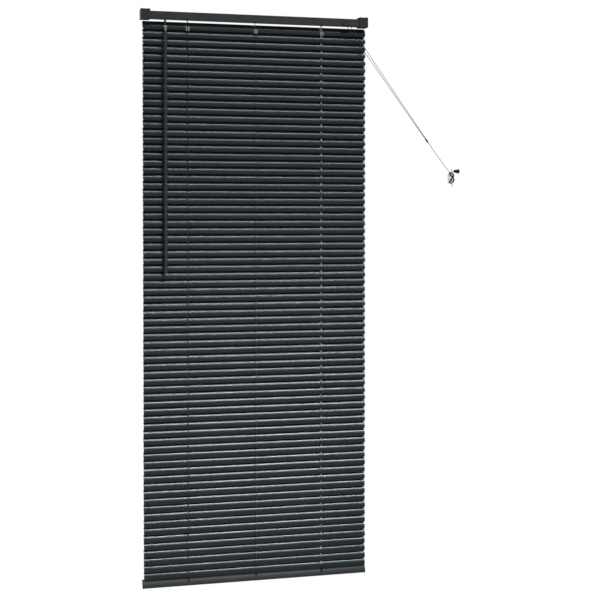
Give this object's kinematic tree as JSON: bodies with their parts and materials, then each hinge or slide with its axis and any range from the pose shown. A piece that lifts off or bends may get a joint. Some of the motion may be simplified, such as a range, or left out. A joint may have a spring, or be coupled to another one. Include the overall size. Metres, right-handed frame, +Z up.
{
  "type": "venetian blind",
  "caption": "Dark venetian blind with thin crowned slats, box headrail in wall brackets, tilt wand, and pull cords wound on a clear wall cleat.",
  "frame": {"origin": "on the wall plane, at the centre of the four wall screw holes of the headrail's two brackets", "axes": "+Z up, +X along the headrail to the right as the room sees it, -Y out of the wall into the room"},
  "size_m": [0.9364, 0.0392, 1.5962],
  "materials": {
    "black_slat_paint": "satin stoved paint on aluminium",
    "charcoal_rail_paint": "matt powder coat on steel",
    "bracket_paint": "matt powder coat on steel",
    "zinc_steel": "zinc plated",
    "white_nylon": "moulded, slightly glossy",
    "black_plastic": "moulded, satin",
    "dark_wand_plastic": "extruded, soft gloss",
    "clear_plastic": "clear, moulded",
    "black_cord": "braided polyester"
  },
  "bodies": {
    "root": {"headrail": "charcoal_rail_paint", "headrail_end_caps": "black_plastic", "bracket_left": "bracket_paint", "bracket_right": "bracket_paint", "gate_pins": "zinc_steel", "tilter_housing": "black_plastic", "drum_cradles": "black_plastic", "cord_lock_housing": "black_plastic", "lift_cord_left": "black_cord", "lift_cord_right": "black_cord", "pull_cord_1": "black_cord", "pull_cord_2": "black_cord", "cord_joiner": "black_plastic", "cleat_cord": "black_cord", "cleat_wrap": "black_cord", "tassel": "black_plastic", "cleat": "clear_plastic", "ladder_left": "black_cord", "ladder_middle": "black_cord", "ladder_right": "black_cord", "ladder_clips": "clear_plastic", "slats_between": "black_slat_paint"},
    "tilt_drive": {"tilt_rod": "zinc_steel", "tilter_gear": "white_nylon", "ladder_drums": "white_nylon"},
    "worm": {"worm_shaft": "black_plastic"},
    "coupling": {"wand_socket": "clear_plastic", "wand_pin": "zinc_steel"},
    "wand": {"wand": "dark_wand_plastic"},
    "gate_left": {"gate_left": "bracket_paint"},
    "gate_right": {"gate_right": "bracket_paint"},
    "lock_roller": {"cord_lock_roller": "zinc_steel"},
    "bottom_rail": {"bottom_rail": "charcoal_rail_paint", "bottom_rail_caps": "black_plastic", "bottom_rail_plugs": "black_plastic"},
    "slat_02": {"slat_02": "black_slat_paint"},
    "slat_05": {"slat_05": "black_slat_paint"},
    "slat_08": {"slat_08": "black_slat_paint"},
    "slat_11": {"slat_11": "black_slat_paint"},
    "slat_14": {"slat_14": "black_slat_paint"},
    "slat_17": {"slat_17": "black_slat_paint"},
    "slat_20": {"slat_20": "black_slat_paint"},
    "slat_23": {"slat_23": "black_slat_paint"},
    "slat_26": {"slat_26": "black_slat_paint"},
    "slat_29": {"slat_29": "black_slat_paint"},
    "slat_32": {"slat_32": "black_slat_paint"},
    "slat_35": {"slat_35": "black_slat_paint"},
    "slat_38": {"slat_38": "black_slat_paint"},
    "slat_41": {"slat_41": "black_slat_paint"},
    "slat_44": {"slat_44": "black_slat_paint"},
    "slat_47": {"slat_47": "black_slat_paint"},
    "slat_50": {"slat_50": "black_slat_paint"},
    "slat_53": {"slat_53": "black_slat_paint"},
    "slat_56": {"slat_56": "black_slat_paint"},
    "slat_59": {"slat_59": "black_slat_paint"},
    "slat_62": {"slat_62": "black_slat_paint"},
    "slat_65": {"slat_65": "black_slat_paint"},
    "slat_68": {"slat_68": "black_slat_paint"},
    "slat_71": {"slat_71": "black_slat_paint"},
    "slat_74": {"slat_74": "black_slat_paint"}
  },
  "joints": [
    {"name": "tilt", "type": "hinge", "parent": "root", "child": "tilt_drive", "pos_m": [0, -0.015, 0.0005], "axis": [-1, 0, 0], "range_deg": [0, 65], "deforming": ["ladder_left", "ladder_middle", "ladder_right"]},
    {"name": "worm_spin", "type": "hinge", "parent": "root", "child": "worm", "pos_m": [-0.2591, -0.03522, -0.0357], "axis": [0, 0.342, 0.9397], "range_deg": [0, 780]},
    {"name": "coupling_spin", "type": "hinge", "parent": "root", "child": "coupling", "pos_m": [-0.2591, -0.03522, -0.0357], "axis": [0, 0, 1], "range_deg": [0, 780]},
    {"name": "wand_swing", "type": "hinge", "parent": "coupling", "child": "wand", "pos_m": [-0.2591, -0.03522, -0.0457], "axis": [-1, 0, 0], "range_deg": [0, 60]},
    {"name": "gate_left_hinge", "type": "hinge", "parent": "root", "child": "gate_left", "pos_m": [-0.3125, -0.0294, 0.01215], "axis": [-1, 0, 0], "range_deg": [0, 110]},
    {"name": "gate_right_hinge", "type": "hinge", "parent": "root", "child": "gate_right", "pos_m": [0.3125, -0.0294, 0.01215], "axis": [-1, 0, 0], "range_deg": [0, 110]},
    {"name": "lock_release", "type": "slide", "parent": "root", "child": "lock_roller", "axis": [0, 0, 1], "range_m": [0, 0.0024]},
    {"name": "bottom_rail_tilt", "type": "hinge", "parent": "root", "child": "bottom_rail", "pos_m": [-0.0016, -0.0165, -1.5702], "axis": [-1, 0, 0], "range_deg": [0, 65]},
    {"name": "slat_02_tilt", "type": "hinge", "parent": "root", "child": "slat_02", "pos_m": [0, -0.0165, -0.04966], "axis": [-1, 0, 0], "range_deg": [0, 65]},
    {"name": "slat_05_tilt", "type": "hinge", "parent": "root", "child": "slat_05", "pos_m": [0, -0.0165, -0.11209], "axis": [-1, 0, 0], "range_deg": [0, 65]},
    {"name": "slat_08_tilt", "type": "hinge", "parent": "root", "child": "slat_08", "pos_m": [0, -0.0165, -0.17452], "axis": [-1, 0, 0], "range_deg": [0, 65]},
    {"name": "slat_11_tilt", "type": "hinge", "parent": "root", "child": "slat_11", "pos_m": [0, -0.0165, -0.23695], "axis": [-1, 0, 0], "range_deg": [0, 65]},
    {"name": "slat_14_tilt", "type": "hinge", "parent": "root", "child": "slat_14", "pos_m": [0, -0.0165, -0.29938], "axis": [-1, 0, 0], "range_deg": [0, 65]},
    {"name": "slat_17_tilt", "type": "hinge", "parent": "root", "child": "slat_17", "pos_m": [0, -0.0165, -0.36181], "axis": [-1, 0, 0], "range_deg": [0, 65]},
    {"name": "slat_20_tilt", "type": "hinge", "parent": "root", "child": "slat_20", "pos_m": [0, -0.0165, -0.42424], "axis": [-1, 0, 0], "range_deg": [0, 65]},
    {"name": "slat_23_tilt", "type": "hinge", "parent": "root", "child": "slat_23", "pos_m": [0, -0.0165, -0.48667], "axis": [-1, 0, 0], "range_deg": [0, 65]},
    {"name": "slat_26_tilt", "type": "hinge", "parent": "root", "child": "slat_26", "pos_m": [0, -0.0165, -0.5491], "axis": [-1, 0, 0], "range_deg": [0, 65]},
    {"name": "slat_29_tilt", "type": "hinge", "parent": "root", "child": "slat_29", "pos_m": [0, -0.0165, -0.61153], "axis": [-1, 0, 0], "range_deg": [0, 65]},
    {"name": "slat_32_tilt", "type": "hinge", "parent": "root", "child": "slat_32", "pos_m": [0, -0.0165, -0.67396], "axis": [-1, 0, 0], "range_deg": [0, 65]},
    {"name": "slat_35_tilt", "type": "hinge", "parent": "root", "child": "slat_35", "pos_m": [0, -0.0165, -0.73639], "axis": [-1, 0, 0], "range_deg": [0, 65]},
    {"name": "slat_38_tilt", "type": "hinge", "parent": "root", "child": "slat_38", "pos_m": [0, -0.0165, -0.79882], "axis": [-1, 0, 0], "range_deg": [0, 65]},
    {"name": "slat_41_tilt", "type": "hinge", "parent": "root", "child": "slat_41", "pos_m": [0, -0.0165, -0.86125], "axis": [-1, 0, 0], "range_deg": [0, 65]},
    {"name": "slat_44_tilt", "type": "hinge", "parent": "root", "child": "slat_44", "pos_m": [0, -0.0165, -0.92368], "axis": [-1, 0, 0], "range_deg": [0, 65]},
    {"name": "slat_47_tilt", "type": "hinge", "parent": "root", "child": "slat_47", "pos_m": [0, -0.0165, -0.98611], "axis": [-1, 0, 0], "range_deg": [0, 65]},
    {"name": "slat_50_tilt", "type": "hinge", "parent": "root", "child": "slat_50", "pos_m": [0, -0.0165, -1.04854], "axis": [-1, 0, 0], "range_deg": [0, 65]},
    {"name": "slat_53_tilt", "type": "hinge", "parent": "root", "child": "slat_53", "pos_m": [0, -0.0165, -1.11097], "axis": [-1, 0, 0], "range_deg": [0, 65]},
    {"name": "slat_56_tilt", "type": "hinge", "parent": "root", "child": "slat_56", "pos_m": [0, -0.0165, -1.1734], "axis": [-1, 0, 0], "range_deg": [0, 65]},
    {"name": "slat_59_tilt", "type": "hinge", "parent": "root", "child": "slat_59", "pos_m": [0, -0.0165, -1.23583], "axis": [-1, 0, 0], "range_deg": [0, 65]},
    {"name": "slat_62_tilt", "type": "hinge", "parent": "root", "child": "slat_62", "pos_m": [0, -0.0165, -1.29826], "axis": [-1, 0, 0], "range_deg": [0, 65]},
    {"name": "slat_65_tilt", "type": "hinge", "parent": "root", "child": "slat_65", "pos_m": [0, -0.0165, -1.36069], "axis": [-1, 0, 0], "range_deg": [0, 65]},
    {"name": "slat_68_tilt", "type": "hinge", "parent": "root", "child": "slat_68", "pos_m": [0, -0.0165, -1.42312], "axis": [-1, 0, 0], "range_deg": [0, 65]},
    {"name": "slat_71_tilt", "type": "hinge", "parent": "root", "child": "slat_71", "pos_m": [0, -0.0165, -1.48555], "axis": [-1, 0, 0], "range_deg": [0, 65]},
    {"name": "slat_74_tilt", "type": "hinge", "parent": "root", "child": "slat_74", "pos_m": [0, -0.0165, -1.54798], "axis": [-1, 0, 0], "range_deg": [0, 65]}
  ],
  "couplings": [
    {"joint": "worm_spin", "follows": "tilt", "ratio": 12},
    {"joint": "coupling_spin", "follows": "tilt", "ratio": 12},
    {"joint": "bottom_rail_tilt", "follows": "tilt", "ratio": 1},
    {"joint": "slat_02_tilt", "follows": "tilt", "ratio": 1},
    {"joint": "slat_05_tilt", "follows": "tilt", "ratio": 1},
    {"joint": "slat_08_tilt", "follows": "tilt", "ratio": 1},
    {"joint": "slat_11_tilt", "follows": "tilt", "ratio": 1},
    {"joint": "slat_14_tilt", "follows": "tilt", "ratio": 1},
    {"joint": "slat_17_tilt", "follows": "tilt", "ratio": 1},
    {"joint": "slat_20_tilt", "follows": "tilt", "ratio": 1},
    {"joint": "slat_23_tilt", "follows": "tilt", "ratio": 1},
    {"joint": "slat_26_tilt", "follows": "tilt", "ratio": 1},
    {"joint": "slat_29_tilt", "follows": "tilt", "ratio": 1},
    {"joint": "slat_32_tilt", "follows": "tilt", "ratio": 1},
    {"joint": "slat_35_tilt", "follows": "tilt", "ratio": 1},
    {"joint": "slat_38_tilt", "follows": "tilt", "ratio": 1},
    {"joint": "slat_41_tilt", "follows": "tilt", "ratio": 1},
    {"joint": "slat_44_tilt", "follows": "tilt", "ratio": 1},
    {"joint": "slat_47_tilt", "follows": "tilt", "ratio": 1},
    {"joint": "slat_50_tilt", "follows": "tilt", "ratio": 1},
    {"joint": "slat_53_tilt", "follows": "tilt", "ratio": 1},
    {"joint": "slat_56_tilt", "follows": "tilt", "ratio": 1},
    {"joint": "slat_59_tilt", "follows": "tilt", "ratio": 1},
    {"joint": "slat_62_tilt", "follows": "tilt", "ratio": 1},
    {"joint": "slat_65_tilt", "follows": "tilt", "ratio": 1},
    {"joint": "slat_68_tilt", "follows": "tilt", "ratio": 1},
    {"joint": "slat_71_tilt", "follows": "tilt", "ratio": 1},
    {"joint": "slat_74_tilt", "follows": "tilt", "ratio": 1}
  ]
}
